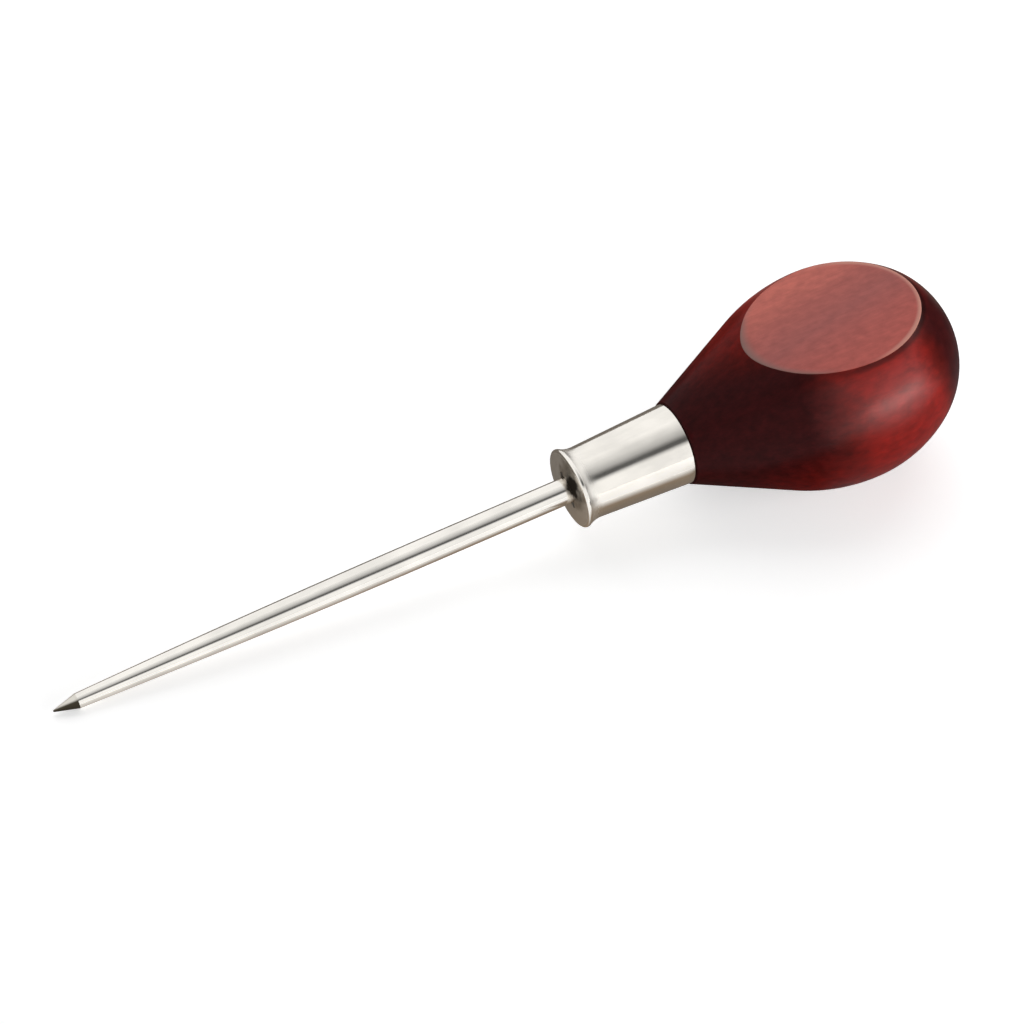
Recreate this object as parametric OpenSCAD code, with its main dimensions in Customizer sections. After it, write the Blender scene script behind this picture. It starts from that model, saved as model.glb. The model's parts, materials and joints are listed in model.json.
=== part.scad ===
// Bradawl with a pear-shaped wooden handle, in millimetres.
// The tool lies on a bench as it comes to rest: on the heel of its ground point and on the front edge
// of its lower flat.
// The origin is on the bench, under the middle of the tool. +X runs from the point to the handle.

/* [Blade] */
// Length of the blade from its point to the ferrule
blade_l = 111.2; // [90:0.2:140]
// Diameter of the parallel shank
shank_d = 5.5; // [4.5:0.1:6.5]
// Length of the parallel shank in front of the ferrule
shank_l = 26.4; // [15:0.2:40]
// Diameter where the long taper meets the ground point
point_d = 3.1; // [2:0.1:3.8]
// Length of the ground point
point_l = 5; // [3:0.1:8]
// Radius of the blunted tip
tip_r = 0.25; // [0.15:0.05:0.5]

/* [Blade root] */
// Width across the two swaged ears
ear_span = 7.6; // [7:0.1:9]
// Thickness of the ears
ear_t = 1.1; // [0.8:0.1:2]
// Length of the ears along the blade
ear_l = 4; // [2.5:0.1:8]
// How far the ears sit behind the middle of the ferrule's face
ear_set = 0.6; // [0.3:0.1:1]
// Turn of the ears about the blade, from the normal of the flats
ear_turn = 42; // [0:1:90]
// Diameter of the root, which thins as the ears are pressed out of it
root_d = 4.9; // [4.6:0.1:5.5]
// How far the root runs on behind the ears
root_tail = 1; // [0.5:0.1:3]
// Diameter of the tang
tang_d = 4.4; // [4:0.1:4.5]
// Length of the tang behind the middle of the ferrule's face
tang_l = 46; // [30:0.5:60]
// Chamfer at the end of the tang
tang_chamfer = 0.8; // [0.3:0.1:1.5]

/* [Ferrule] */
// Length of the ferrule
ferrule_l = 24.9; // [18:0.1:35]
// Diameter at the back, where it meets the wood
ferrule_back_d = 17.2; // [15.6:0.1:17.8]
// Diameter of the neck, just behind the lip
ferrule_neck_d = 15.2; // [14:0.1:15.6]
// Thickness of the wall
ferrule_wall = 0.8; // [0.5:0.1:1.2]
// Diameter of the flared front lip
lip_d = 16.9; // [15.8:0.1:17.5]
// Length of the lip at its full diameter, with its rim
lip_l = 1.1; // [1:0.1:3]
// Length over which the lip fades into the neck
lip_fade = 3; // [1:0.1:4]
// Rounding of the rim
rim_r = 0.5; // [0.3:0.1:0.6]
// Height of the dome of the front face
face_dome = 0.4; // [0.2:0.1:0.5]
// Thickness of the front wall
face_t = 1.4; // [1:0.1:2]
// Rounding of the back edge
back_round = 0.3; // [0.1:0.05:0.4]

/* [Handle] */
// Length of the wooden body behind the ferrule
handle_l = 63.9; // [58:0.1:80]
// Largest diameter
handle_d = 45.5; // [42:0.5:50]
// Diameter of the shoulder at the ferrule
shoulder_d = 18.1; // [17.9:0.1:22]
// Rounding of the shoulder's edge
shoulder_round = 0.3; // [0.1:0.05:0.4]
// Distance from the widest section back to the butt
butt_depth = 26.1; // [24:0.1:32]
// How much smaller the radius of the rounded butt is than half the largest diameter
butt_ease = 1.4; // [1:0.1:6]
// Radius of the belly, forward of the widest section
belly_r = 39; // [34:0.5:42]
// Width across the two flats
flats_w = 34; // [28:0.5:40]

/* [Fits] */
// Gap between the wooden tenon and the wall of the ferrule
tenon_gap = 0.1; // [0.05:0.05:0.2]
// Gap between the end of the tenon and the front wall of the ferrule
tenon_end_gap = 0.3; // [0.1:0.1:0.6]
// Gap round the shank and the ears where they pass through the ferrule
ear_gap = 0.1; // [0.05:0.05:0.2]
// Space for adhesive round the tang
glue_t = 0.3; // [0.25:0.05:0.6]
// Depth of adhesive under the end of the tang
glue_floor = 1; // [0.5:0.1:3]
// Shrinkage gap on each side of the adhesive
glue_gap = 0.05; // [0.02:0.01:0.08]

/* [Hidden] */
$fn = 96;

// How far a cut runs past what it cuts
overrun = 1;
// Steps along the arcs of the outlines
tip_steps = 4;
taper_steps = 12;
edge_steps = 5;
body_steps = 14;

shank_r = shank_d / 2;
point_r = point_d / 2;
root_r = root_d / 2;
tang_r = tang_d / 2;
bore_r = tang_r + glue_t;
neck_r = ferrule_neck_d / 2;
back_r = ferrule_back_d / 2;
lip_r = lip_d / 2;
hole_r = max(shank_r, root_r) + ear_gap;
handle_r = handle_d / 2;
shoulder_r = shoulder_d / 2;
flat_h = flats_w / 2;

// Stations along the axis, measured from the tip
taper_end = blade_l - shank_l;
neck_at = blade_l + lip_l + lip_fade;
ears_end = blade_l + ear_set + ear_l;
root_end = ears_end + root_tail;
tenon_at = blade_l + face_t + tenon_end_gap;
seam_at = blade_l + ferrule_l;
tang_end = blade_l + tang_l;
bore_end = tang_end + glue_floor;
tool_l = seam_at + handle_l;
widest_at = tool_l - butt_depth;

// Slope of the ground point, as a line that touches the round tip
point_reach = norm([point_l - tip_r, point_r]);
point_slope = atan2(point_r, point_l - tip_r) - asin(tip_r / point_reach);

// Bow of the long taper: an arc that runs into the shank
taper_l = taper_end - point_l;
taper_drop = shank_r - point_r;
taper_r = (taper_l ^ 2 + taper_drop ^ 2) / (2 * taper_drop);

// Cone of the handle's neck, as a line from the shoulder that touches the belly
belly_run = widest_at - seam_at - shoulder_round;
belly_fall = shoulder_r - (handle_r - belly_r);
neck_slope = asin(belly_r / norm([belly_run, belly_fall])) - atan2(belly_fall, belly_run);

// Arc behind the widest section, which runs into the rounded butt
butt_r = handle_r - butt_ease;
butt_run = butt_depth - butt_r;
hip_r = (butt_run ^ 2 + handle_r ^ 2 - butt_r ^ 2) / (2 * butt_ease);
butt_turn = atan2(butt_run, hip_r - handle_r);

// Slope of the barrel behind its neck, and of the bore inside it
barrel_slope = (back_r - neck_r) / (seam_at - neck_at);
function barrel_r(station) = neck_r + (station - neck_at) * barrel_slope;
function cavity_r(station) = barrel_r(station) - ferrule_wall;

// Station where the front of the handle reaches a radius
cone_end_r = handle_r - belly_r + belly_r * cos(neck_slope);
function front_station(r) = r < cone_end_r
    ? widest_at - belly_r * sin(neck_slope) - (cone_end_r - r) / tan(neck_slope)
    : widest_at - sqrt(belly_r ^ 2 - (r - handle_r + belly_r) ^ 2);

// Tilt at which the heel of the point and the front edge of the lower flat both touch the bench
edge_at = front_station(flat_h);
rest_tilt = atan2(flat_h - point_r, edge_at - point_l);
rest_rise = point_r * cos(rest_tilt) - point_l * sin(rest_tilt);
front_x = tip_r * cos(rest_tilt) - tip_r;
back_x = (tool_l - butt_r) * cos(rest_tilt) + butt_r;

// Points of an arc in an outline, as radius and station
function arc(middle, r, from, to, steps) =
    [for (i = [0 : steps]) let (a = from + (to - from) * i / steps) middle + r * [cos(a), sin(a)]];

// Lays the tool on the bench. Its axis is modelled along +Z, with the flats facing along X.
module lying() {
    translate([-(front_x + back_x) / 2, 0, rest_rise])
        rotate([0, 90 - rest_tilt, 0])
            children();
}

// Slot across the axis that the ears fit, with a gap on each side
module ear_bar(gap, from, to) {
    rotate([0, 0, -ear_turn])
        translate([-ear_span / 2 - gap, -ear_t / 2 - gap, from])
            cube([ear_span + 2 * gap, ear_t + 2 * gap, to - from]);
}

function blade_outline() = concat(
    arc([0, tip_r], tip_r, -90, -point_slope, tip_steps),
    arc([shank_r - taper_r, taper_end], taper_r, -asin(taper_l / taper_r), 0, taper_steps),
    [
        [shank_r, blade_l],
        [root_r, blade_l],
        [root_r, root_end],
        [tang_r, root_end],
        [tang_r, tang_end - tang_chamfer],
        [tang_r - tang_chamfer, tang_end],
        [0, tang_end]
    ]
);

// Steel blade with its ground point, taper, shank, ears and tang
module blade() {
    color("gainsboro") lying() {
        rotate_extrude() polygon(blade_outline());
        ear_bar(0, blade_l + ear_set, ears_end);
    }
}

function ferrule_outline() =
    let (
        face_r = lip_r - rim_r,
        dome_r = (face_r ^ 2 + face_dome ^ 2) / (2 * face_dome),
        dome_middle = [0, blade_l + dome_r],
        fade_h = lip_r - neck_r,
        fade_r = (lip_fade ^ 2 + fade_h ^ 2) / (2 * fade_h)
    )
    concat(
        arc(dome_middle, dome_r, -90 + asin(hole_r / dome_r), -90 + asin(face_r / dome_r), edge_steps),
        arc([face_r, blade_l + face_dome + rim_r], rim_r, -90, 0, edge_steps),
        arc([neck_r + fade_r, neck_at], fade_r, 180 + asin(lip_fade / fade_r), 180, edge_steps),
        arc([back_r - back_round, seam_at - back_round], back_round, 0, 90, edge_steps),
        [
            [cavity_r(seam_at), seam_at],
            [cavity_r(blade_l + face_t), blade_l + face_t],
            [hole_r, blade_l + face_t]
        ]
    );

// Plated cup with a flared lip, slotted for the ears of the blade
module ferrule() {
    color("silver") lying() difference() {
        rotate_extrude() polygon(ferrule_outline());
        ear_bar(ear_gap, blade_l - overrun, blade_l + face_t + overrun);
    }
}

function handle_outline() = concat(
    [
        [0, tenon_at],
        [cavity_r(tenon_at) - tenon_gap, tenon_at],
        [cavity_r(seam_at) - tenon_gap, seam_at]
    ],
    arc([shoulder_r - shoulder_round, seam_at + shoulder_round], shoulder_round, -90, 0, edge_steps),
    arc([handle_r - belly_r, widest_at], belly_r, -neck_slope, 0, body_steps),
    arc([handle_r - hip_r, widest_at], hip_r, 0, butt_turn, body_steps),
    arc([0, tool_l - butt_r], butt_r, butt_turn, 90, body_steps)
);

// Turned wooden handle with its tenon, its blind bore, its seat for the ears and its two flats
module handle() {
    color("firebrick") lying() difference() {
        intersection() {
            rotate_extrude() polygon(handle_outline());
            translate([-flat_h, -handle_r - overrun, tenon_at - overrun])
                cube([flats_w, handle_d + 2 * overrun, tool_l - tenon_at + 2 * overrun]);
        }
        translate([0, 0, tenon_at - overrun])
            cylinder(h = bore_end - tenon_at + overrun, r = bore_r);
        translate([0, 0, tenon_at - overrun])
            cylinder(h = root_end - tenon_at + overrun, r = root_r + ear_gap);
        ear_bar(ear_gap, tenon_at - overrun, ears_end);
    }
}

// Cured adhesive between the tang and the bore, with a floor under the tang's end
module tang_adhesive() {
    color("tan") lying() difference() {
        translate([0, 0, root_end])
            cylinder(h = bore_end - root_end, r = bore_r - glue_gap);
        translate([0, 0, root_end - overrun])
            cylinder(h = tang_end - root_end + overrun, r = tang_r + glue_gap);
    }
}

blade();
ferrule();
handle();
tang_adhesive();
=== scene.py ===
# %% [markdown]
# A bradawl on a white bench
#
# A bradawl is a short spike in a palm handle, for starting holes by hand. The CAD model already gives
# every piece its real size and its place, so this lesson only gives the pieces their looks.
# Everything below is in the same frame as the CAD model, and nothing is moved to fit afterwards.

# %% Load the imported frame
import json
import math

import bmesh
import bpy
from mathutils import Euler, Matrix, Vector


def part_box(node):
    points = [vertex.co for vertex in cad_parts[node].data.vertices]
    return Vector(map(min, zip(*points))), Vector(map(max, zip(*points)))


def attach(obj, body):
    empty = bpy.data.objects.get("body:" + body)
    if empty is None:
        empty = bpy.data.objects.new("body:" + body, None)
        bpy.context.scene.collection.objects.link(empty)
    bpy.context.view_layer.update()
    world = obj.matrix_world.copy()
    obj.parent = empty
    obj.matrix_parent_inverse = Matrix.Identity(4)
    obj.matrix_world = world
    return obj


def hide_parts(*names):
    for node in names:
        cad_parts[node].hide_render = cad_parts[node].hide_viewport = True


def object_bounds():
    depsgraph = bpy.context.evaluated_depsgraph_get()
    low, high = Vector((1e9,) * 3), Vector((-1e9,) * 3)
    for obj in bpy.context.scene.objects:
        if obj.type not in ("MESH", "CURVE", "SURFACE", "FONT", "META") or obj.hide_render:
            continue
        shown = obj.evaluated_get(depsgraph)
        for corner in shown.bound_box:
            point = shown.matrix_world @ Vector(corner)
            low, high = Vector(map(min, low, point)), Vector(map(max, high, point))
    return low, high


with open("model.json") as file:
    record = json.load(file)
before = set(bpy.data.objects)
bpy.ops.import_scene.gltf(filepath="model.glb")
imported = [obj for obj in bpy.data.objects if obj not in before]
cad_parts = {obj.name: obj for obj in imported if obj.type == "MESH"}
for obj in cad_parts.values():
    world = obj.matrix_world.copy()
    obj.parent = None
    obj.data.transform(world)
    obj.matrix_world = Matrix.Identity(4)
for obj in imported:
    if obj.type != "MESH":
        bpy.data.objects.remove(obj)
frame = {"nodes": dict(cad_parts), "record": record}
cad_low, cad_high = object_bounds()
print("CAD nodes:", sorted(frame["nodes"]))
print("CAD box in metres:", [round(side, 4) for side in cad_high - cad_low])

# %% [markdown]
# The tool's own axes
#
# The awl lies tilted, on its point and on the front edge of its lower flat. Modelling along a tilted
# line is awkward, so each piece is drawn in millimetres along X, with the point at zero and the upper
# flat facing up, and then laid down with one matrix. The matrix comes from the record: the shank gives
# the line, and the upper flat gives the direction that faces up.

# %% Read the tool's line from the record
MM = 0.001
BLADE_L = 111.2

mounts = {mount["name"]: mount for mount in frame["record"]["mounts"]}
shank_r = mounts["shank"]["dims"]["r_mm"]
shank_l = mounts["shank"]["dims"]["length_mm"]
along = -Vector(mounts["shank"]["axis"]).normalized()
upward = Vector(mounts["top_flat"]["axis"]).normalized()
sideways = upward.cross(along)
shank_middle = Vector(mounts["shank"]["pos_m"])
tip = shank_middle - along * (BLADE_L - shank_l / 2) * MM
flat_h = (Vector(mounts["top_flat"]["pos_m"]) - shank_middle).dot(upward) / MM

turn = Matrix((along, sideways, upward)).transposed()
laid_down = Matrix.Translation(tip) @ turn.to_4x4() @ Matrix.Scale(MM, 4)
print("tip in mm:", [round(side / MM, 2) for side in tip])
print("tilt in degrees:", round(math.degrees(math.asin(along.z)), 2))
print("flats from the axis in mm:", round(flat_h, 2))

# %% [markdown]
# The camera
#
# The photograph looks down at about 45 degrees, from the point's side, with a long lens. A camera is
# easiest to think of as turning round a point: how far round, how high, how far away, and how much it
# leans. Those four numbers make its matrix, so no tracking constraint is needed.

# %% Set the camera
AIM = Vector((-0.06, 2.33, 9.11)) * MM
CAMERA_ROUND = math.radians(-28.90)
CAMERA_HEIGHT = math.radians(44.98)
CAMERA_LEAN = math.radians(2.10)
CAMERA_AWAY = 601.2 * MM
LENS = 105.5

scene = bpy.context.scene
scene.view_settings.view_transform = "Standard"
camera = bpy.data.objects.new("camera", bpy.data.cameras.new("camera"))
camera.data.lens = LENS
scene.collection.objects.link(camera)
scene.camera = camera
looking = Euler((math.pi / 2 - CAMERA_HEIGHT, 0, CAMERA_ROUND)).to_matrix()
looking = looking @ Matrix.Rotation(CAMERA_LEAN, 3, "Z")
camera.matrix_world = Matrix.Translation(AIM + looking.col[2] * CAMERA_AWAY) @ looking.to_4x4()
print("camera in mm:", [round(side / MM, 1) for side in camera.matrix_world.translation])

# %% [markdown]
# The white studio
#
# Product photographs are taken on a white sweep with large soft lamps. The world is white wherever the
# camera or a reflection sees it, and only a weak fill for the shading, so the lamps do the modelling.
# The floor glows by just enough to meet that white, and still takes the shadow. Far from the lamps it
# glows more, so that no grey horizon shows.

# %% Make the world and the floor
FILL = 0.2
FLOOR_SIZE = 2.5
FLOOR_PALE = 0.8
FLOOR_GLOW = 0.56
FAR_GLOW = 0.84
NEAR_REACH = 0.3
FAR_REACH = 1.0


def add(tree, kind, settings=None, values=None):
    """Adds a node with its settings and the values of its sockets."""
    node = tree.nodes.new(kind)
    for name, value in (settings or {}).items():
        setattr(node, name, value)
    for name, value in (values or {}).items():
        node.inputs[name].default_value = value
    return node


def feed(tree, value, socket):
    """Links another socket to a socket, or sets a plain number or colour on it."""
    if isinstance(value, bpy.types.NodeSocket):
        tree.links.new(value, socket)
    else:
        socket.default_value = value


def maths(tree, operation, *values, clamp=False):
    """A socket with the result of one operation on numbers or sockets."""
    node = add(tree, "ShaderNodeMath", {"operation": operation, "use_clamp": clamp})
    for place, value in enumerate(values):
        feed(tree, value, node.inputs[place])
    return node.outputs["Value"]


def seen_rays(tree):
    """A socket that is one for rays that see the background: camera, glossy and transmission rays."""
    rays = add(tree, "ShaderNodeLightPath").outputs
    glossy = maths(tree, "MAXIMUM", rays["Is Camera Ray"], rays["Is Glossy Ray"])
    return maths(tree, "MAXIMUM", glossy, rays["Is Transmission Ray"])


world = bpy.data.worlds.new("white_studio")
scene.world = world
world.use_nodes = True
air = world.node_tree
fill = air.nodes["Background"]
fill.inputs["Color"].default_value = (1, 1, 1, 1)
fill.inputs["Strength"].default_value = FILL
white = add(air, "ShaderNodeBackground", values={"Color": (1, 1, 1, 1), "Strength": 1})
either = add(air, "ShaderNodeMixShader")
air.links.new(seen_rays(air), either.inputs["Fac"])
air.links.new(fill.outputs["Background"], either.inputs[1])
air.links.new(white.outputs["Background"], either.inputs[2])
air.links.new(either.outputs["Shader"], air.nodes["World Output"].inputs["Surface"])

sweep = bpy.data.materials.new("pale_sweep")
sweep.use_nodes = True
paper = sweep.node_tree
paper.nodes.remove(paper.nodes["Principled BSDF"])
matt = add(paper, "ShaderNodeBsdfDiffuse", values={"Color": (FLOOR_PALE,) * 3 + (1,)})
glow = add(paper, "ShaderNodeEmission")
spot = add(paper, "ShaderNodeTexCoord")
reach = add(paper, "ShaderNodeVectorMath", {"operation": "LENGTH"})
far = add(
    paper, "ShaderNodeMapRange", {"interpolation_type": "SMOOTHSTEP"},
    {"From Min": NEAR_REACH, "From Max": FAR_REACH, "To Min": FLOOR_GLOW, "To Max": FAR_GLOW},
)
both = add(paper, "ShaderNodeAddShader")
paper.links.new(spot.outputs["Object"], reach.inputs[0])
paper.links.new(reach.outputs["Value"], far.inputs["Value"])
glow_seen = maths(paper, "MULTIPLY", seen_rays(paper), far.outputs["Result"])
paper.links.new(glow_seen, glow.inputs["Strength"])
paper.links.new(matt.outputs["BSDF"], both.inputs[0])
paper.links.new(glow.outputs["Emission"], both.inputs[1])
paper.links.new(both.outputs["Shader"], paper.nodes["Material Output"].inputs["Surface"])


def link_mesh(bm, name):
    """Turns a bmesh into an object of the scene, at the origin."""
    mesh = bpy.data.meshes.new(name)
    bm.to_mesh(mesh)
    bm.free()
    made = bpy.data.objects.new(name, mesh)
    scene.collection.objects.link(made)
    return made


ground = bmesh.new()
bmesh.ops.create_grid(ground, x_segments=1, y_segments=1, size=FLOOR_SIZE / 2)
floor = link_mesh(ground, "floor")
floor.data.materials.append(sweep)
print("floor in metres:", round(floor.dimensions.x, 2))

# %% [markdown]
# The lamps
#
# One large softbox stands low at the right, in front, and another hangs high behind for the flat. Both
# only shade the tool: their sharp edges would cut across the mirror-like metal. The gloss on the lacquer
# comes from a third, small one at the level of the bench, which sees the handle alone. A lamp's power is
# worked out from the brightness of its cloth, because that brightness is what a shiny surface shows.

# %% Hang the softboxes
LAMP_AWAY = 0.6
GLOSS_AWAY = 0.36
RIGHT_SIZE = (0.50, 0.32)
BACK_SIZE = (0.90, 0.70)
GLOSS_SIZE = (0.26, 0.14)
RIGHT_BRIGHT = 5.0
BACK_BRIGHT = 1.5
GLOSS_BRIGHT = 4.0
GLOSS_COLOUR = (0.97, 1.0, 0.94)

handle_low, handle_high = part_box("handle")
handle_middle = (handle_low + handle_high) / 2


def direction(round_deg, height_deg):
    """A unit vector: degrees round from the front, towards +X, and degrees above the bench."""
    a = math.radians(round_deg)
    e = math.radians(height_deg)
    return Vector((math.sin(a) * math.cos(e), -math.cos(a) * math.cos(e), math.sin(e)))


def softbox(name, way, away, size, brightness):
    """Hangs a rectangular area lamp that faces the handle from a direction, and returns it."""
    width, height = size
    lamp = bpy.data.lights.new(name, "AREA")
    lamp.shape = "RECTANGLE"
    lamp.size = width
    lamp.size_y = height
    lamp.energy = brightness * math.pi * width * height
    hung = bpy.data.objects.new(name, lamp)
    scene.collection.objects.link(hung)
    hung.rotation_mode = "QUATERNION"
    hung.rotation_quaternion = way.to_track_quat("Z", "Y")
    hung.location = handle_middle + way * away
    print(name, "power in watts:", round(lamp.energy, 2))
    return hung


right_way = direction(round_deg=40, height_deg=14)
back_way = direction(round_deg=158, height_deg=46)
gloss_way = direction(round_deg=31, height_deg=-3)
right_softbox = softbox("right_softbox", right_way, LAMP_AWAY, RIGHT_SIZE, RIGHT_BRIGHT)
back_softbox = softbox("back_softbox", back_way, LAMP_AWAY, BACK_SIZE, BACK_BRIGHT)
gloss_softbox = softbox("gloss_softbox", gloss_way, GLOSS_AWAY, GLOSS_SIZE, GLOSS_BRIGHT)
right_softbox.visible_glossy = False
back_softbox.visible_glossy = False
gloss_softbox.visible_diffuse = False
gloss_softbox.data.color = GLOSS_COLOUR

# %% [markdown]
# The cards
#
# Bright metal in an all-white room has no shape: it needs something dark to mirror. Photographers hang
# dark cards just outside the picture, and so does this scene. Only reflections see the cards, so they
# take no light away. A graded one hangs where the middle of the round blade mirrors the room, which is
# the direction to the camera, flipped along the tool, and it draws the dark line down the blade.

# %% Hang the black card
RIGHT_CARD_MIDDLE = Vector((0.20, 0.08, 0.045))
BLACK = 0.02


def ramp(tree, factor, stops):
    """A socket with colours along a factor, from a list of places and colours."""
    made = add(tree, "ShaderNodeValToRGB")
    band = made.color_ramp.elements
    while len(band) < len(stops):
        band.new(0.5)
    for element, (place, colour) in zip(band, stops):
        element.position = place
        element.color = (*colour, 1)
    tree.links.new(factor, made.inputs["Fac"])
    return made.outputs["Color"]


def grey(level):
    """A colour without a hue."""
    return (level, level, level)


def cloth(name, side, reach, stops):
    """A finish for a card: colours along one of its own sides, over a reach in metres."""
    material = bpy.data.materials.new(name)
    material.use_nodes = True
    tree = material.node_tree
    tree.nodes.remove(tree.nodes["Principled BSDF"])
    where = add(tree, "ShaderNodeTexCoord")
    place = add(tree, "ShaderNodeSeparateXYZ")
    run = add(tree, "ShaderNodeMapRange", values={"From Min": reach[0], "From Max": reach[1]})
    shine = add(tree, "ShaderNodeEmission")
    tree.links.new(where.outputs["Object"], place.inputs["Vector"])
    tree.links.new(place.outputs[side], run.inputs["Value"])
    tree.links.new(ramp(tree, run.outputs["Result"], stops), shine.inputs["Color"])
    tree.links.new(shine.outputs["Emission"], tree.nodes["Material Output"].inputs["Surface"])
    return material


def card(name, middle, across, upright, width, height, material):
    """A rectangle that only reflections see, with its own X across and its own Y upright."""
    sheet = bmesh.new()
    bmesh.ops.create_grid(sheet, x_segments=1, y_segments=1, size=0.5)
    bmesh.ops.scale(sheet, vec=(width, height, 1), verts=sheet.verts)
    made = link_mesh(sheet, name)
    hanging = Matrix((across, upright, across.cross(upright))).transposed().to_4x4()
    made.matrix_world = Matrix.Translation(middle) @ hanging
    made.data.materials.append(material)
    made.visible_camera = False
    made.visible_diffuse = False
    made.visible_shadow = False
    made.visible_transmission = False
    print(name, "in metres:", width, "by", height)


RIGHT, FRONT, UP = Vector((1, 0, 0)), Vector((0, -1, 0)), Vector((0, 0, 1))
black_cloth = cloth("black_cloth", "X", (-1, 1), [(0.0, grey(BLACK)), (1.0, grey(BLACK))])
card("right_card", RIGHT_CARD_MIDDLE, FRONT, UP, width=0.34, height=0.09, material=black_cloth)

# %% Hang the graded card
CEILING_AWAY = 0.6
CEILING_CLIMB = 0.44
CEILING_WIDTH = 1.0
CEILING_HEIGHT = 1.2

ceiling_stops = [
    (0.0, grey(0.95)), (0.05, grey(0.62)), (0.09, grey(0.10)), (0.16, grey(0.10)), (0.27, grey(0.47)),
    (0.45, grey(0.74)), (0.75, grey(0.95)), (1.0, grey(1.05)),
]
graded_cloth = cloth("graded_cloth", "Y", (-CEILING_HEIGHT / 2, CEILING_HEIGHT / 2), ceiling_stops)
to_camera = looking.col[2]
glint = to_camera - 2 * to_camera.dot(along) * along
level_way = (along - along.dot(glint) * glint).normalized()
climb_way = -level_way.cross(glint)
tool_middle = (cad_low + cad_high) / 2
ceiling_middle = tool_middle + glint * CEILING_AWAY + climb_way * CEILING_CLIMB
card(
    "ceiling_card", ceiling_middle, level_way, climb_way, CEILING_WIDTH, CEILING_HEIGHT, graded_cloth
)
print("the dark line mirrors:", [round(side, 2) for side in glint])

# %% [markdown]
# Cards on the bench
#
# The undersides mirror the bench. A white bench would make the belly and the lower edges of the metal
# as pale as the background, so brown cards lie behind the blade and the ferrule and a dark one beside
# the belly. The brown ones fade to white at their front edge, and the dark one begins in brown beside the
# ferrule, so that they draw no line in the metal.

# %% Lay the bench cards
BROWN_WAY = -5.5
BROWN_HEIGHT = 0.6
BROWN_FADE = 0.04
BELLY_WIDTH = 0.26


def bench_card(name, material, x, y, degrees, width, height, lift):
    """A card that lies on the bench, turned by some degrees."""
    turned = Matrix.Rotation(math.radians(degrees), 3, "Z")
    card(name, Vector((x, y, lift)), turned @ RIGHT, turned @ -FRONT, width, height, material)


brown_stops = [(0.0, grey(0.95)), (0.3, (0.27, 0.21, 0.155)), (0.7, (0.17, 0.15, 0.13))]
brown_cloth = cloth("brown_cloth", "Y", (-BROWN_HEIGHT / 2, BROWN_FADE - BROWN_HEIGHT / 2), brown_stops)
belly_stops = [(0.0, (0.24, 0.19, 0.145)), (0.04, grey(0.12)), (0.3, grey(0.12)), (0.5, grey(0.05))]
belly_cloth = cloth("belly_cloth", "X", (-BELLY_WIDTH / 2, BELLY_WIDTH / 2), belly_stops)
bench_card(
    "back_bench_card", brown_cloth, x=0.026, y=0.2823, degrees=BROWN_WAY,
    width=1.0, height=BROWN_HEIGHT, lift=0.0004,
)
bench_card(
    "ferrule_bench_card", brown_cloth, x=0.058, y=0.270, degrees=BROWN_WAY,
    width=0.036, height=BROWN_HEIGHT, lift=0.0005,
)
bench_card(
    "belly_bench_card", belly_cloth, x=0.175, y=-0.007, degrees=19.3,
    width=BELLY_WIDTH, height=0.095, lift=0.0006,
)

# %% [markdown]
# An outline and a lathe
#
# Every piece of this tool is turned, so each one starts as an outline: half of its section, drawn with
# a pen. The pen draws a straight edge by extruding its vertex, and an arc by spinning it. A full spin
# of the outline about the tool's axis is the lathe. The seam and the poles are then merged, and only
# after that the normals are made to point outwards.

# %% Make the pen and the lathe
WELD = 0.0005
LATHE_STEPS = 144


def start(bm, station, out):
    """Puts the pen down at a station along the tool, a distance out from its axis."""
    return bm.verts.new((station, 0, out))


def line(bm, pen, station, out, parts=1):
    """Draws a straight stretch in a few parts, and returns the pen at its end."""
    begin = pen.co.copy()
    finish = Vector((station, 0, out))
    for part in range(parts):
        pen = bmesh.ops.extrude_vert_indiv(bm, verts=[pen])["verts"][0]
        pen.co = begin.lerp(finish, (part + 1) / parts)
    return pen


def arc(bm, pen, station, out, angle, steps):
    """Swings the pen about a centre by an angle, and returns it at the end of the arc."""
    swung = bmesh.ops.spin(
        bm, geom=[pen], cent=(station, 0, out), axis=(0, 1, 0), angle=angle, steps=steps
    )
    return next(item for item in swung["geom_last"] if isinstance(item, bmesh.types.BMVert))


def lathe(bm, steps=LATHE_STEPS):
    """Turns the outline into a closed shell."""
    bmesh.ops.spin(
        bm, geom=bm.verts[:] + bm.edges[:], cent=(0, 0, 0), axis=(1, 0, 0),
        angle=math.tau, steps=steps, use_merge=True,
    )
    bmesh.ops.remove_doubles(bm, verts=bm.verts, dist=WELD)
    bmesh.ops.recalc_face_normals(bm, faces=bm.faces)


def lay_down(bm, name, materials, sharp_angle=30):
    """Lays a finished shell in its place as an object with smooth faces and crisp edges."""
    bmesh.ops.transform(bm, matrix=laid_down, verts=bm.verts)
    for face in bm.faces:
        face.smooth = True
    open_edges = sum(not edge.is_manifold for edge in bm.edges)
    made = link_mesh(bm, name)
    made.data.set_sharp_from_angle(angle=math.radians(sharp_angle))
    for material in materials:
        made.data.materials.append(material)
    even = made.modifiers.new("even_normals", "WEIGHTED_NORMAL")
    even.keep_sharp = True
    print(name, "faces:", len(made.data.polygons), "open edges:", open_edges)
    return made


# %% [markdown]
# Coordinates for the finishes
#
# Grain and drawing marks run along the tool, so the patterns need the tool's own axes too. A Mapping
# node of the texture kind undoes the matrix that laid the pieces down: its output is in millimetres,
# with X along the tool. A second Mapping stretches a pattern along the grain.

# %% Make the helpers for finishes
def new_finish(name):
    """A material with its node tree and its shader."""
    material = bpy.data.materials.new(name)
    material.use_nodes = True
    tree = material.node_tree
    return material, tree, tree.nodes["Principled BSDF"]


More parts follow.
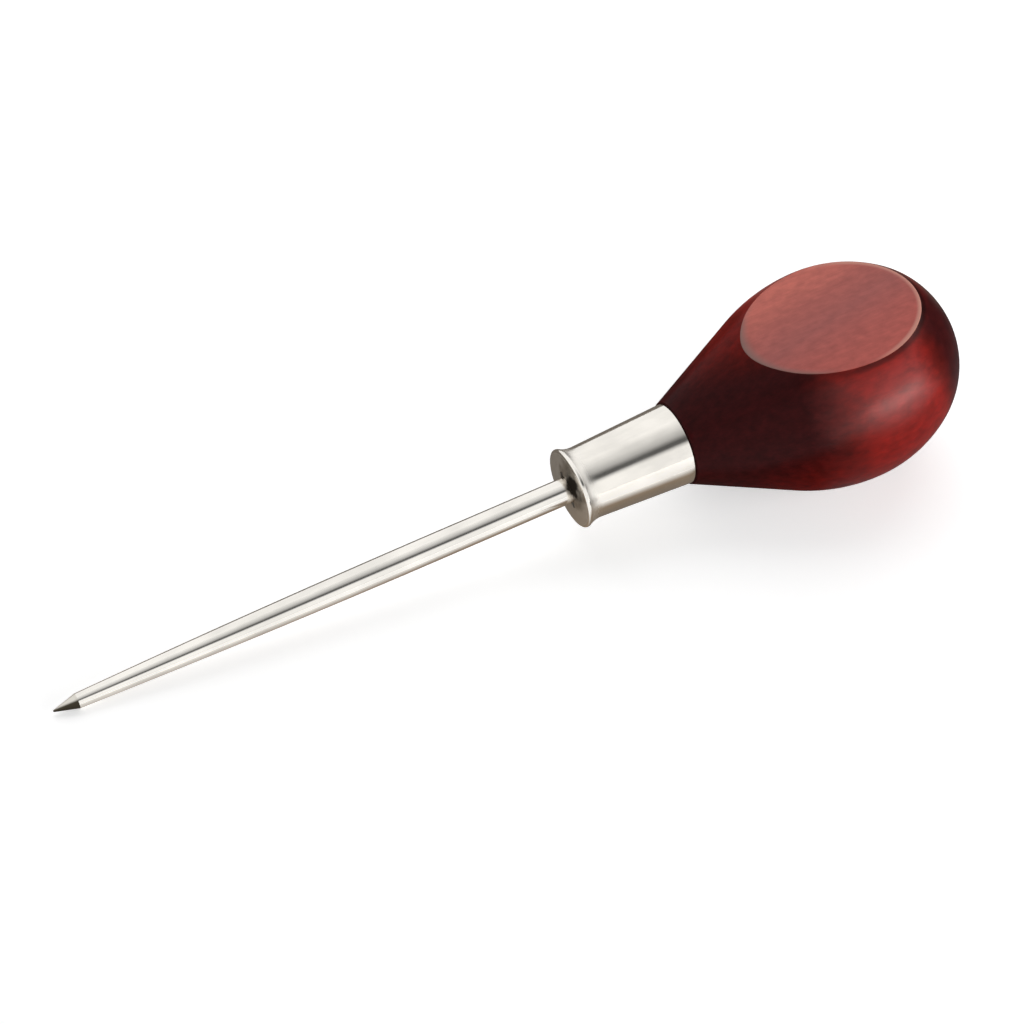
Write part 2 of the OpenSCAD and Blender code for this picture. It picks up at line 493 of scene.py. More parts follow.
def tool_millimetres(tree):
    """A socket with the place on the tool in millimetres, X along it from the point."""
    place = add(tree, "ShaderNodeTexCoord")
    undo = add(tree, "ShaderNodeMapping", {"vector_type": "TEXTURE"})
    undo.inputs["Location"].default_value = tip
    undo.inputs["Rotation"].default_value = turn.to_euler()
    undo.inputs["Scale"].default_value = (MM, MM, MM)
    tree.links.new(place.outputs["Object"], undo.inputs["Vector"])
    return undo.outputs["Vector"]


def streaks(tree, place, length, width, detail=3.0):
    """A socket with noise in streaks of a length and a width in millimetres, along the tool."""
    stretch = add(tree, "ShaderNodeMapping", values={"Scale": (1 / length, 1 / width, 1 / width)})
    noise = add(tree, "ShaderNodeTexNoise", values={"Scale": 1.0, "Detail": detail})
    tree.links.new(place, stretch.inputs["Vector"])
    tree.links.new(stretch.outputs["Vector"], noise.inputs["Vector"])
    return noise.outputs["Fac"]


def between(tree, factor, low, high):
    """A socket with a number that runs from low to high with the factor."""
    spread = add(tree, "ShaderNodeMapRange", values={"To Min": low, "To Max": high})
    tree.links.new(factor, spread.inputs["Value"])
    return spread.outputs["Result"]


def mixed(tree, blend, factor, first, second):
    """A socket with two colours blended; each value is a socket, or a plain number or colour."""
    blending = add(tree, "ShaderNodeMix", {"data_type": "RGBA", "blend_type": blend})
    feed(tree, factor, blending.inputs["Factor"])
    feed(tree, first, blending.inputs["A"])
    feed(tree, second, blending.inputs["B"])
    return blending.outputs["Result"]


def raise_grain(tree, shader, height, depth_mm, strength):
    """Sends a height to the shader's normal as a shallow relief."""
    relief = add(tree, "ShaderNodeBump", values={"Strength": strength, "Distance": depth_mm * MM})
    tree.links.new(height, relief.inputs["Height"])
    tree.links.new(relief.outputs["Normal"], shader.inputs["Normal"])


print("tilt of the patterns in degrees:", [round(math.degrees(a), 2) for a in turn.to_euler()])

# %% [markdown]
# The plated metal
#
# The blade is drawn steel under bright nickel plate, which is a little warmer than chrome. Metal shows
# almost nothing but what it mirrors, so the finish is a smooth metal with faint marks along the drawing
# direction, in the roughness and in a very shallow relief. The ferrule gets the same, but duller in the
# hollow behind its lip, which a polishing wheel can't reach.

# %% Make the nickel
ALONG = (1, 0, 0)
HOLLOW_BEGINS = {"way": ALONG, "begin": BLADE_L + 1.0, "end": BLADE_L + 1.4}
HOLLOW_ENDS = {"way": ALONG, "begin": BLADE_L + 1.8, "end": BLADE_L + 4.8}
PALER, DULLER = 1.05, 0.93
SMOOTHER, ROUGHER = 0.6, 1.4


def limit(tree, place, way, begin, end):
    """A socket that rises softly from 0 to 1 between two distances along a direction."""
    run = add(tree, "ShaderNodeVectorMath", {"operation": "DOT_PRODUCT"}, {1: way})
    ends = {"From Min": begin, "From Max": end}
    rise = add(tree, "ShaderNodeMapRange", {"interpolation_type": "SMOOTHSTEP"}, ends)
    tree.links.new(place, run.inputs[0])
    tree.links.new(run.outputs["Value"], rise.inputs["Value"])
    return rise.outputs["Result"]


def nickel(name, colour, roughness, mark_length, mark_width, depth_mm, dulled=0.0):
    """Bright plate with drawing marks along the tool, dulled by some roughness behind the lip."""
    material, tree, shader = new_finish(name)
    place = tool_millimetres(tree)
    marks = streaks(tree, place, mark_length, mark_width)
    cloud = streaks(tree, place, length=9.0, width=4.0)
    pale = tuple(min(1.0, side * PALER) for side in colour)
    dull = tuple(side * DULLER for side in colour)
    shader.inputs["Metallic"].default_value = 1.0
    tint = ramp(tree, cloud, [(0.35, dull), (0.65, pale)])
    tree.links.new(tint, shader.inputs["Base Color"])
    rough = between(tree, marks, roughness * SMOOTHER, roughness * ROUGHER)
    if dulled:
        begins = limit(tree, place, **HOLLOW_BEGINS)
        ends = limit(tree, place, **HOLLOW_ENDS)
        rough = maths(tree, "MULTIPLY_ADD", maths(tree, "SUBTRACT", begins, ends), dulled, rough)
    tree.links.new(rough, shader.inputs["Roughness"])
    raise_grain(tree, shader, marks, depth_mm, strength=0.5)
    return material


blade_plate = nickel(
    "blade_nickel", (0.90, 0.87, 0.815), roughness=0.12, mark_length=12.0, mark_width=0.10, depth_mm=0.002
)
ferrule_plate = nickel(
    "ferrule_nickel", (0.89, 0.855, 0.795), roughness=0.13, mark_length=8.0, mark_width=0.12,
    depth_mm=0.004, dulled=0.22,
)
print("plated metals:", blade_plate.name, ferrule_plate.name)

# %% [markdown]
# The dull metals
#
# What the plater didn't reach is dull. The root and the tang are black from the forge, and the same black
# is painted shade on the ears inside the ferrule's slot. The point is ground bare after plating, with the
# wheel's marks running round it, grey on top and dark below in painted shade. The front of the ferrule is
# thinly plated, with a painted shade dark beside the blade.

# %% Blacken the forged steel, which also paints shade in the slot
# Painted shade: this black also darkens the ears inside the ferrule's slot, where shade falls.
black_steel_and_slot_shade, black_tree, black_shader = new_finish("black_steel_and_slot_shade")
black_marks = streaks(black_tree, tool_millimetres(black_tree), length=1.0, width=1.0)
black_tint = ramp(black_tree, black_marks, [(0.3, (0.02, 0.018, 0.016)), (0.7, (0.05, 0.045, 0.04))])
black_tree.links.new(black_tint, black_shader.inputs["Base Color"])
black_shader.inputs["Metallic"].default_value = 1.0
black_tree.links.new(between(black_tree, black_marks, 0.4125, 0.6875), black_shader.inputs["Roughness"])
raise_grain(black_tree, black_shader, black_marks, depth_mm=0.01, strength=0.6)
print("forged steel and painted slot shade:", black_steel_and_slot_shade.name)

# %% Tint the ground point, grey on top with painted shade below
# Painted shade: the limit darkens the point's lower side and leaves its top grey.
POINT_SHADE_LIMIT = {"way": (0.0, 0.7, 0.7), "begin": -0.25, "end": 0.55}

ground_steel_and_shade, ground_tree, ground_shader = new_finish("ground_steel_and_shade")
ground_place = tool_millimetres(ground_tree)
point_shade_limit = limit(ground_tree, ground_place, **POINT_SHADE_LIMIT)
ground_and_shade_stops = [(0.0, (0.05, 0.042, 0.03)), (0.4, (0.08, 0.068, 0.05)), (1.0, (0.72, 0.69, 0.63))]
ground_and_shade_tint = ramp(ground_tree, point_shade_limit, ground_and_shade_stops)
ground_tree.links.new(ground_and_shade_tint, ground_shader.inputs["Base Color"])
ground_shader.inputs["Metallic"].default_value = 1.0
ground_marks = streaks(ground_tree, ground_place, length=0.12, width=1.4)
ground_tree.links.new(between(ground_tree, ground_marks, 0.28, 0.48), ground_shader.inputs["Roughness"])
raise_grain(ground_tree, ground_shader, ground_marks, depth_mm=0.01, strength=0.6)
print("ground steel:", ground_steel_and_shade.name)

# %% Paint shade on the ferrule's front
# Painted shade: a dark, ragged patch on the ferrule's front beside the blade, matt and not metallic.
PAINTED_SHADE_MIDDLE = (BLADE_L, -2.5, 3.3)
PAINTED_SHADE_REACH = 6.2
PAINTED_SHADE_WAVER = 2.5

ferrule_front_shaded, front_tree, front_shader = new_finish("thin_nickel_with_shade")
front_place = tool_millimetres(front_tree)
shade_reach = add(front_tree, "ShaderNodeVectorMath", {"operation": "DISTANCE"}, {1: PAINTED_SHADE_MIDDLE})
shade_span = add(front_tree, "ShaderNodeMapRange", values={"From Max": PAINTED_SHADE_REACH})
shade_noise = streaks(front_tree, front_place, length=2.0, width=2.0)
shade_waver = between(front_tree, shade_noise, -PAINTED_SHADE_WAVER, PAINTED_SHADE_WAVER)
shade_ragged = maths(front_tree, "ADD", shade_reach.outputs["Value"], shade_waver)
front_tree.links.new(front_place, shade_reach.inputs[0])
front_tree.links.new(shade_ragged, shade_span.inputs["Value"])
front_stops = [
    (0.0, (0.03, 0.024, 0.018)), (0.30, (0.045, 0.036, 0.028)), (0.62, (0.42, 0.37, 0.31)),
    (1.0, (0.78, 0.74, 0.68)),
]
front_tint = ramp(front_tree, shade_span.outputs["Result"], front_stops)
front_tree.links.new(front_tint, front_shader.inputs["Base Color"])
metal_outside_shade = ramp(front_tree, shade_span.outputs["Result"], [(0.25, grey(0.0)), (0.65, grey(1.0))])
front_tree.links.new(metal_outside_shade, front_shader.inputs["Metallic"])
front_shader.inputs["Specular IOR Level"].default_value = 0.0
front_marks = streaks(front_tree, front_place, length=0.8, width=0.8)
front_tree.links.new(between(front_tree, front_marks, 0.32, 0.52), front_shader.inputs["Roughness"])
print("front with painted shade:", ferrule_front_shaded.name)

# %% [markdown]
# The blade
#
# One piece of steel: a tiny blunt end, a ground point, a long taper that bows slightly into a parallel
# shank, and behind the ferrule a thinner root and a tang. A cone with a straight side would look stiff
# in the long reflection, so the taper is an arc of a very large radius that meets the shank with no
# corner.

# %% Turn the blade
TIP_R = 0.25
POINT_L = 5
POINT_R = 1.55
ROOT_R = 2.45
ROOT_END = BLADE_L + 5.6
TANG_R = 2.2
TANG_END = BLADE_L + 46
TANG_CHAMFER = 0.8
EAR_FROM = BLADE_L + 0.6
EAR_TO = BLADE_L + 4.6
EAR_HALF_T = 0.55
EAR_REACH = 3.8
EAR_TURN = math.radians(42)

taper_end = BLADE_L - shank_l
taper_l = taper_end - POINT_L
taper_drop = shank_r - POINT_R
taper_bow_r = (taper_l ** 2 + taper_drop ** 2) / (2 * taper_drop)
point_reach = math.hypot(POINT_L - TIP_R, POINT_R)
point_slope = math.atan2(POINT_R, POINT_L - TIP_R) - math.asin(TIP_R / point_reach)

steel_shape = bmesh.new()
pen = start(steel_shape, 0, 0)
pen = arc(steel_shape, pen, TIP_R, 0, math.pi / 2 - point_slope, steps=6)
pen = line(steel_shape, pen, POINT_L, POINT_R, parts=8)
taper_turn = math.asin(taper_l / taper_bow_r)
pen = arc(steel_shape, pen, taper_end, shank_r - taper_bow_r, taper_turn, steps=32)
pen = line(steel_shape, pen, BLADE_L, shank_r, parts=8)
for station, out in [
    (BLADE_L, ROOT_R), (EAR_FROM, ROOT_R), (EAR_TO, ROOT_R), (ROOT_END, ROOT_R), (ROOT_END, TANG_R),
    (TANG_END - TANG_CHAMFER, TANG_R), (TANG_END, TANG_R - TANG_CHAMFER), (TANG_END, 0),
]:
    pen = line(steel_shape, pen, station, out)
lathe(steel_shape, steps=96)
print("blade faces:", len(steel_shape.faces), "point slope:", round(math.degrees(point_slope), 1))

# %% [markdown]
# The ears
#
# Two flat ears are pressed out of the root, and they show as a bar that crosses it inside the slot of
# the ferrule. The root's faces are cut at the ears' thickness, and the strips between the cuts are
# pulled out to the ears' reach, so blade and ears stay one closed shell.

# %% Press out the ears
ear_way = Vector((0, math.sin(EAR_TURN), math.cos(EAR_TURN)))
ear_side = Vector(ALONG).cross(ear_way)


def faces_between(bm, low, high):
    """The faces that lie wholly between two stations."""
    return [
        face for face in bm.faces
        if all(low - WELD <= vert.co.x <= high + WELD for vert in face.verts)
    ]


def cut_both_sides(bm, faces, way, half):
    """Cuts some faces with two planes, half a width on either side of the axis."""
    for sign in (1, -1):
        edges = dict.fromkeys(edge for face in faces for edge in face.edges)
        verts = dict.fromkeys(vert for face in faces for vert in face.verts)
        cut = bmesh.ops.bisect_plane(
            bm, geom=[*verts, *edges, *faces], dist=WELD, plane_co=way * half * sign, plane_no=way
        )
        kept = (item for item in cut["geom"] if isinstance(item, bmesh.types.BMFace))
        faces = list(dict.fromkeys(kept))
    return faces


root_faces = faces_between(steel_shape, EAR_FROM, EAR_TO)
root_faces = cut_both_sides(steel_shape, root_faces, ear_side, EAR_HALF_T)
strips = {1: [], -1: []}
for face in root_faces:
    middle = face.calc_center_median()
    if abs(middle.dot(ear_side)) < EAR_HALF_T:
        strips[1 if middle.dot(ear_way) > 0 else -1].append(face)
for sign, strip in strips.items():
    pulled = bmesh.ops.extrude_face_region(steel_shape, geom=strip)["geom"]
    bmesh.ops.delete(steel_shape, geom=strip, context="FACES")
    for vert in [item for item in pulled if isinstance(item, bmesh.types.BMVert)]:
        vert.co += ear_way * (sign * EAR_REACH - vert.co.dot(ear_way))

# Index 1: ground point with painted shade below. Index 2: black forged steel, also painted slot shade.
for face in steel_shape.faces:
    if all(vert.co.x <= POINT_L + WELD for vert in face.verts):
        face.material_index = 1
    elif all(vert.co.x >= BLADE_L - WELD for vert in face.verts):
        face.material_index = 2
bmesh.ops.recalc_face_normals(steel_shape, faces=steel_shape.faces)
blade = lay_down(steel_shape, "plated_blade", [blade_plate, ground_steel_and_shade, black_steel_and_slot_shade])
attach(blade, "root")
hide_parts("blade")

# %% [markdown]
# The ferrule
#
# A cup drawn from sheet, with a rolled lip at the front and an open back that grips the tenon. Its
# front is slightly domed and has a hole for the shank and a slot for the ears. The whole wall is one
# outline, inside and outside, so the lathe makes a cup of real thickness.

# %% Turn the ferrule
FERRULE_L = 24.9
NECK_R = 7.6
BACK_R = 8.6
WALL = 0.8
LIP_R = 8.45
LIP_L = 1.1
LIP_FADE = 3
LIP_SOFT = 0.2
RIM_R = 0.5
FACE_DOME = 0.4
FACE_T = 1.4
BACK_ROUND = 0.3
EAR_GAP = 0.1

hole_r = shank_r + EAR_GAP
seam_at = BLADE_L + FERRULE_L
neck_at = BLADE_L + LIP_L + LIP_FADE
face_r = LIP_R - RIM_R
dome_r = (face_r ** 2 + FACE_DOME ** 2) / (2 * FACE_DOME)
fade_h = LIP_R - NECK_R
fade_r = (LIP_FADE ** 2 + fade_h ** 2) / (2 * fade_h)


def cavity_r(station):
    """Radius of the cup's inside, which follows the slope of its barrel."""
    return NECK_R + (station - neck_at) * (BACK_R - NECK_R) / (seam_at - neck_at) - WALL


cup = bmesh.new()
first = start(cup, BLADE_L + dome_r - math.sqrt(dome_r ** 2 - hole_r ** 2), hole_r)
face_turn = math.asin(face_r / dome_r) - math.asin(hole_r / dome_r)
pen = arc(cup, first, BLADE_L + dome_r, 0, face_turn, steps=8)
pen = arc(cup, pen, BLADE_L + FACE_DOME + RIM_R, face_r, math.pi / 2, steps=8)
lip_end = line(cup, pen, BLADE_L + LIP_L, LIP_R)
pen = arc(cup, lip_end, neck_at, NECK_R + fade_r, -math.asin(LIP_FADE / fade_r), steps=10)
pen = line(cup, pen, seam_at - BACK_ROUND, BACK_R, parts=12)
pen = arc(cup, pen, seam_at - BACK_ROUND, BACK_R - BACK_ROUND, math.pi / 2, steps=5)
pen = line(cup, pen, seam_at, cavity_r(seam_at))
pen = line(cup, pen, BLADE_L + FACE_T, cavity_r(BLADE_L + FACE_T))
pen = line(cup, pen, BLADE_L + FACE_T, hole_r)
bmesh.ops.contextual_create(cup, geom=[pen, first])
bmesh.ops.bevel(
    cup, geom=[lip_end], offset=LIP_SOFT, affect="VERTICES", segments=4, profile=0.5, material=-1
)
lathe(cup)
# Index 1 is the front, with its painted shade beside the blade.
for face in faces_between(cup, BLADE_L, BLADE_L + FACE_DOME):
    face.material_index = 1
print("ferrule faces:", len(cup.faces))

# %% [markdown]
# The slot for the ears
#
# A boolean would do, but cutting the front wall with four planes keeps the mesh clean. The pieces
# inside the slot are deleted on the front, in the hole and at the back of the wall, and the open
# edges in front are bridged to those behind.

# %% Cut the slot
slot_half_t = EAR_HALF_T + EAR_GAP
slot_reach = EAR_REACH + EAR_GAP
wall_faces = [
    face for face in faces_between(cup, BLADE_L, BLADE_L + FACE_T)
    if all(math.hypot(vert.co.y, vert.co.z) < face_r + WELD for vert in face.verts)
]
wall_faces = cut_both_sides(cup, wall_faces, ear_side, slot_half_t)
wall_faces = cut_both_sides(cup, wall_faces, ear_way, slot_reach)
inside = []
for face in wall_faces:
    middle = face.calc_center_median()
    if abs(middle.dot(ear_side)) < slot_half_t and abs(middle.dot(ear_way)) < slot_reach:
        inside.append(face)
bmesh.ops.delete(cup, geom=inside, context="FACES")
for sign in (1, -1):
    rims = []
    for edge in cup.edges:
        ends = [vert.co for vert in edge.verts]
        upright = abs(ends[0].x - ends[1].x) > FACE_T / 2
        if edge.is_boundary and not upright and all(sign * end.dot(ear_way) > 0 for end in ends):
            rims.append(edge)
    bmesh.ops.bridge_loops(cup, edges=rims)
bmesh.ops.recalc_face_normals(cup, faces=cup.faces)
ferrule = lay_down(cup, "plated_ferrule", [ferrule_plate, ferrule_front_shaded])
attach(ferrule, "root")
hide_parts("ferrule")

# %% [markdown]
# The wood
#
# The handle is turned hardwood, stained mahogany red and dipped in gloss lacquer. Its colour is nearly
# black on the neck and round the butt, and clear red on the belly, with some red on the upper and the
# lower side of the neck: partly the real stain, and partly painted light, with the red where the lamps
# fall and the dark where shade falls. Soft limits along and across the tool mark out the red, and fine
# mottling breaks it up. Towards the butt a painted shade lies just under the rim of each flat. The
# lacquer is a coat over the wood, which keeps the gloss apart from the colour below. It is thin on the
# neck and full on the belly.

# %% Make the lacquered wood
HANDLE_L = 63.9
RED_BEGINS = {"way": ALONG, "begin": 157, "end": 172}
RED_ENDS = {"way": (1, 0, 0.2), "begin": 186, "end": 194}
RED_ABOVE = {"way": (0, 0.5, 0.87), "begin": 9.5, "end": 17}
RED_BELOW = {"way": (0.3, -0.5, -0.8), "begin": 51, "end": 66}
ABOVE_SHARE = 0.65
BELOW_SHARE = 0.7
UNDER_RIM = {"way": (0, 0, 1), "begin": flat_h - 1.2, "end": flat_h - 0.5}
RIM_SHADE_BEGINS = {"way": (1, -0.5, 0), "begin": 168, "end": 182}
RIM_SHADE_LEVEL = 0.33
GLOSS_BEGINS = {"way": ALONG, "begin": 157, "end": 168}
THIN_COAT = 0.2

tool_l = seam_at + HANDLE_L


def wavering(tree, place, length, width, reach):
    """The place on the tool, shifted along it by slow noise, so that limits waver."""
    shift = add(tree, "ShaderNodeCombineXYZ")
    moved = add(tree, "ShaderNodeVectorMath", {"operation": "ADD"})
    slow = streaks(tree, place, length, width)
    tree.links.new(between(tree, slow, -reach, reach), shift.inputs["X"])
    tree.links.new(place, moved.inputs[0])
    tree.links.new(shift.outputs["Vector"], moved.inputs[1])
    return moved.outputs["Vector"]


def mottled(tree, place, colour, blotch_share, grain_share):
    """A colour broken up by blotches and by short streaks of grain."""
    blotch = ramp(tree, streaks(tree, place, 2.6, 1.7, detail=4.0), [(0.3, grey(0.68)), (0.7, grey(1.25))])
    grain = ramp(tree, streaks(tree, place, 5.0, 0.4, detail=4.0), [(0.3, grey(0.75)), (0.7, grey(1.15))])
    blotched = mixed(tree, "MULTIPLY", blotch_share, colour, blotch)
    return mixed(tree, "MULTIPLY", grain_share, blotched, grain)


body_wood, body, body_shader = new_finish("gloss_mahogany")
body_place = tool_millimetres(body)
body_wave = wavering(body, body_place, length=14.0, width=6.0, reach=4.0)
red_begins = limit(body, body_wave, **RED_BEGINS)
red_ends = limit(body, body_wave, **RED_ENDS)
red_above = limit(body, body_wave, **RED_ABOVE)
red_below = limit(body, body_wave, **RED_BELOW)
red_from = maths(body, "MAXIMUM", red_begins, maths(body, "MULTIPLY", red_below, BELOW_SHARE))
red_belly = maths(body, "SUBTRACT", red_from, red_ends, clamp=True)
red_share = maths(body, "MULTIPLY_ADD", red_above, ABOVE_SHARE, red_belly, clamp=True)
# Painted light over a real stain: the red belly and lower neck stand for lamplight, the dark neck and butt
# for shade.
stain_and_light_stops = [(0.0, (0.050, 0.005, 0.0055)), (0.5, (0.135, 0.006, 0.004)), (1.0, (0.285, 0.009, 0.005))]
stain_and_painted_light = ramp(body, red_share, stain_and_light_stops)
# Painted shade: a dark band just under the rim of each flat, towards the butt.
from_middle = add(body, "ShaderNodeVectorMath", {"operation": "ABSOLUTE"})
body.links.new(body_place, from_middle.inputs[0])
under_rim = limit(body, from_middle.outputs["Vector"], **UNDER_RIM)
painted_rim_shade = maths(body, "MULTIPLY", under_rim, limit(body, body_place, **RIM_SHADE_BEGINS))
shade = ramp(body, painted_rim_shade, [(0.0, grey(1.0)), (1.0, grey(RIM_SHADE_LEVEL))])
shaded = mixed(body, "MULTIPLY", 1.0, stain_and_painted_light, shade)
body_tint = mottled(body, body_place, shaded, blotch_share=0.9, grain_share=0.5)
body.links.new(body_tint, body_shader.inputs["Base Color"])
body_shader.inputs["Roughness"].default_value = 0.5
body_shader.inputs["Specular IOR Level"].default_value = 0.0
gloss = limit(body, body_wave, **GLOSS_BEGINS)
body.links.new(between(body, gloss, THIN_COAT, 1.0), body_shader.inputs["Coat Weight"])
body_shader.inputs["Coat IOR"].default_value = 1.4
body_shader.inputs["Coat Roughness"].default_value = 0.29
print("body finish:", body_wood.name)

# %% [markdown]
# The planed flats
#
# The flats are cut after staining and wiped with a thinner coat, so they are paler, redder and only
# satin. The stain thins towards the far rim. The rim is pale towards the butt, partly wear from handling
# and partly a painted highlight along the edge, and grey at the neck, a painted sheen of the rounded
# edge. The flat is almost an ellipse, so the length of a scaled vector tells how near the rim a place
# is: 0 in the middle and 1 at the rim.

# %% Make the satin wood and the rim's wear and painted sheen
FLAT_MIDDLE = 172.3
FLAT_HALF_L = 19.27
FLAT_HALF_W = 15.1
STAIN_THINS = {"way": (-0.2, 0.9, 0), "begin": -48, "end": -20}
PALE_HIGHLIGHT_FROM = {"way": ALONG, "begin": 172, "end": 184}
GREY_SHEEN_FROM = {"way": (-1, -0.2, 0), "begin": -166, "end": -157}
RIM_WEAR_AND_SHEEN = [(PALE_HIGHLIGHT_FROM, 0.95, (0.62, 0.27, 0.21)), (GREY_SHEEN_FROM, 0.87, (0.25, 0.125, 0.108))]

flat_wood, flat, flat_shader = new_finish("satin_flat")
flat_place = tool_millimetres(flat)
flat_wave = wavering(flat, flat_place, length=8.0, width=6.0, reach=5.0)
flat_stops = [
    (0.0, (0.49, 0.094, 0.074)), (0.45, (0.395, 0.098, 0.085)), (0.75, (0.45, 0.107, 0.087)),
    (1.0, (0.62, 0.15, 0.112)),
]
flat_tint = ramp(flat, limit(flat, flat_wave, **STAIN_THINS), flat_stops)
flat_tint = mottled(flat, flat_place, flat_tint, blotch_share=0.45, grain_share=0.25)
scaled = add(flat, "ShaderNodeMapping")
scaled.inputs["Scale"].default_value = (1 / FLAT_HALF_L, 1 / FLAT_HALF_W, 0)
scaled.inputs["Location"].default_value = (-FLAT_MIDDLE / FLAT_HALF_L, 0, 0)
rim_share = add(flat, "ShaderNodeVectorMath", {"operation": "LENGTH"})
flat.links.new(flat_place, scaled.inputs["Vector"])
flat.links.new(scaled.outputs["Vector"], rim_share.inputs[0])
# Painted light on the rim: pale is wear with a painted highlight, grey at the neck is a painted sheen.
for where, inner, colour in RIM_WEAR_AND_SHEEN:
    near = add(flat, "ShaderNodeMapRange", {"interpolation_type": "SMOOTHSTEP"}, {"From Min": inner})
    flat.links.new(rim_share.outputs["Value"], near.inputs["Value"])
    rim_wear_and_sheen = maths(flat, "MULTIPLY", near.outputs["Result"], limit(flat, flat_wave, **where))
    flat_tint = mixed(flat, "MIX", rim_wear_and_sheen, flat_tint, (*colour, 1))
flat.links.new(flat_tint, flat_shader.inputs["Base Color"])
flat_shader.inputs["Roughness"].default_value = 0.5
flat_shader.inputs["Specular IOR Level"].default_value = 0.3
print("flat finish:", flat_wood.name)

# %% [markdown]
# The handle
#
# A pear: a straight cone from the shoulder, a belly, a hip and a round butt, each arc running into the
# next with no corner. The outline begins in the bore for the tang, so the handle is hollow where the
# real one is. The two flats come after the lathe, as they do in a workshop.

# %% Turn the handle
HANDLE_R = 22.75
SHOULDER_R = 9.05
SHOULDER_ROUND = 0.3
BUTT_DEPTH = 26.1
BUTT_EASE = 1.4
BELLY_R = 39
TENON_GAP = 0.1
TENON_END_GAP = 0.3
GLUE_T = 0.3
GLUE_FLOOR = 1

widest_at = tool_l - BUTT_DEPTH
tenon_at = BLADE_L + FACE_T + TENON_END_GAP
belly_run = widest_at - seam_at - SHOULDER_ROUND
belly_fall = SHOULDER_R - (HANDLE_R - BELLY_R)
neck_slope = math.asin(BELLY_R / math.hypot(belly_run, belly_fall)) - math.atan2(belly_fall, belly_run)
cone_end = widest_at - BELLY_R * math.sin(neck_slope)
cone_end_r = HANDLE_R - BELLY_R + BELLY_R * math.cos(neck_slope)
butt_r = HANDLE_R - BUTT_EASE
butt_run = BUTT_DEPTH - butt_r
hip_r = (butt_run ** 2 + HANDLE_R ** 2 - butt_r ** 2) / (2 * BUTT_EASE)
butt_turn = math.atan2(butt_run, hip_r - HANDLE_R)

pear = bmesh.new()
pen = start(pear, TANG_END + GLUE_FLOOR, 0)
for station, out in [
    (TANG_END + GLUE_FLOOR, TANG_R + GLUE_T), (ROOT_END, TANG_R + GLUE_T), (ROOT_END, slot_reach),
    (tenon_at, slot_reach), (tenon_at, cavity_r(tenon_at) - TENON_GAP),
    (seam_at, cavity_r(seam_at) - TENON_GAP), (seam_at, SHOULDER_R - SHOULDER_ROUND),
]:
    pen = line(pear, pen, station, out)
pen = arc(pear, pen, seam_at + SHOULDER_ROUND, SHOULDER_R - SHOULDER_ROUND, math.pi / 2, steps=5)
pen = line(pear, pen, cone_end, cone_end_r, parts=24)
pen = arc(pear, pen, widest_at, HANDLE_R - BELLY_R, neck_slope, steps=24)
pen = arc(pear, pen, widest_at, HANDLE_R - hip_r, butt_turn, steps=28)
pen = arc(pear, pen, tool_l - butt_r, 0, math.pi / 2 - butt_turn, steps=26)
pen.co.z = 0
lathe(pear, steps=224)
print("handle faces:", len(pear.faces), "neck slope:", round(math.degrees(neck_slope), 1))

# %% [markdown]
# The flats
#
# Each flat is planed off with one plane, a little below its final height. The cut leaves an open rim with
# some points nearly on top of each other, and slivers of the lathe's faces beside it. The points are
# merged, and points just below the rim are welded to it. The rim is then drawn up and inwards in a few
# rings that round it off, because a real edge always catches a thin line of light. The points are sorted
# by their places first, so that they merge alike in every run.

# %% Plane the flats
RIM_MERGE = 0.3
RIM_CLEAR = 0.8
RIM_DROP = 0.08
RIM_INSET = 0.22
RIM_RINGS = 4


def rim_edges(bm, height):
    """The open edges that lie in a level plane."""
    return [
        edge for edge in bm.edges
        if edge.is_boundary and all(abs(vert.co.z - height) < WELD for vert in edge.verts)
    ]


def rim_points(bm, height):
    """The points of a rim, each of them once, in order along the tool."""
    points = {vert for edge in rim_edges(bm, height) for vert in edge.verts}
    return sorted(points, key=lambda vert: (round(vert.co.x, 2), vert.co.y))


def clear_rim(bm, height):
    """Merges crowded points of a rim, and welds the points just below it to the rim."""
    bmesh.ops.remove_doubles(bm, verts=rim_points(bm, height), dist=RIM_MERGE)
    points = rim_points(bm, height)
    nearest = {}
    for vert in points:
        for edge in vert.link_edges:
            below, gap = edge.other_vert(vert), round(edge.calc_length(), 4)
            if below not in points and gap < nearest.get(below, (RIM_CLEAR, None))[0]:
                nearest[below] = (gap, vert)
    targets = {below: vert for below, (gap, vert) in nearest.items()}
    bmesh.ops.weld_verts(bm, targetmap=targets)
    print("points welded to the rim:", len(targets))


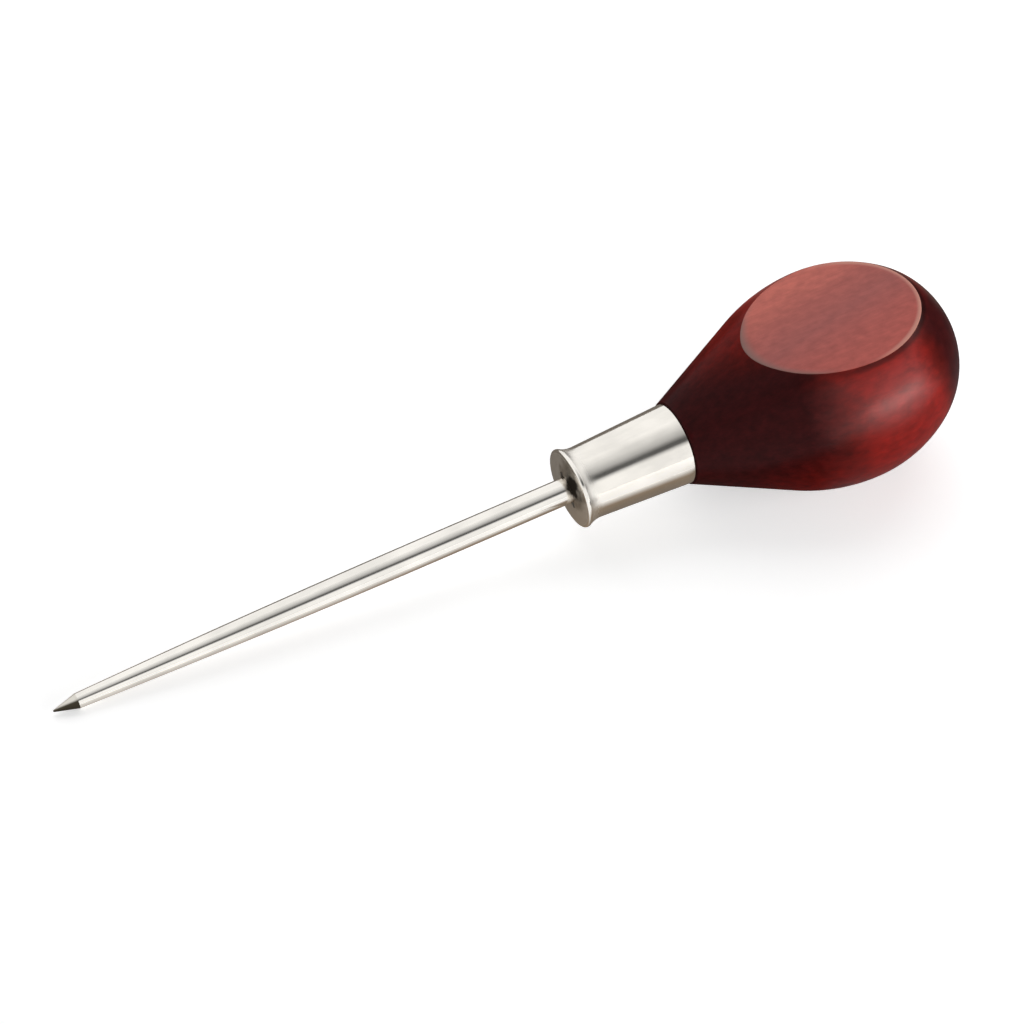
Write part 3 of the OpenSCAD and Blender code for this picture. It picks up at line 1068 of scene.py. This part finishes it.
def draw_in(bm, edges, height):
    """Adds a ring inside a rim, at a height, as a strip of the flat's finish."""
    drawn = bmesh.ops.extrude_edge_only(bm, edges=edges)["geom"]
    for vert in [item for item in drawn if isinstance(item, bmesh.types.BMVert)]:
        outward = Vector(((vert.co.x - FLAT_MIDDLE) / FLAT_HALF_L ** 2, vert.co.y / FLAT_HALF_W ** 2, 0))
        vert.co -= outward.normalized() * RIM_INSET / RIM_RINGS
        vert.co.z = height
        for face in vert.link_faces:
            face.material_index = 1
    return rim_edges(bm, height)


for side in (1, -1):
    height = side * (flat_h - RIM_DROP)
    bmesh.ops.bisect_plane(
        pear, geom=pear.verts[:] + pear.edges[:] + pear.faces[:], dist=WELD,
        plane_co=(0, 0, height), plane_no=(0, 0, side), clear_outer=True,
    )
    clear_rim(pear, height)
    rim = rim_edges(pear, height)
    for ring in range(RIM_RINGS):
        left = 1 - (ring + 1) / RIM_RINGS
        rim = draw_in(pear, rim, side * (flat_h - RIM_DROP * left ** 2))
    planed = bmesh.ops.edgeloop_fill(pear, edges=rim)["faces"]
    for face in planed:
        face.material_index = 1
    print("flat at", round(side * flat_h, 2), "has a rim of", len(rim), "edges")
bmesh.ops.recalc_face_normals(pear, faces=pear.faces)
handle = lay_down(pear, "lacquered_handle", [body_wood, flat_wood], sharp_angle=40)
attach(handle, "root")
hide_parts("handle")
glossy_pieces = bpy.data.collections.new("glossy_pieces")
glossy_pieces.objects.link(handle)
gloss_softbox.light_linking.receiver_collection = glossy_pieces
gloss_softbox.light_linking.blocker_collection = glossy_pieces

# %% [markdown]
# The adhesive
#
# The sleeve of adhesive round the tang is hidden inside the handle. Its CAD solid is right as it is,
# so it stays and only gets a finish: a cloudy amber resin.

# %% Give the adhesive its finish
resin, resin_tree, resin_shader = new_finish("amber_resin")
haze = streaks(resin_tree, tool_millimetres(resin_tree), length=2.0, width=1.2)
resin_tint = ramp(resin_tree, haze, [(0.3, (0.62, 0.50, 0.32)), (0.7, (0.74, 0.64, 0.46))])
resin_tree.links.new(resin_tint, resin_shader.inputs["Base Color"])
resin_tree.links.new(between(resin_tree, haze, 0.3, 0.5), resin_shader.inputs["Roughness"])
sleeve = frame["nodes"]["tang_adhesive"]
sleeve.data.materials.clear()
sleeve.data.materials.append(resin)
print("adhesive finish:", resin.name)
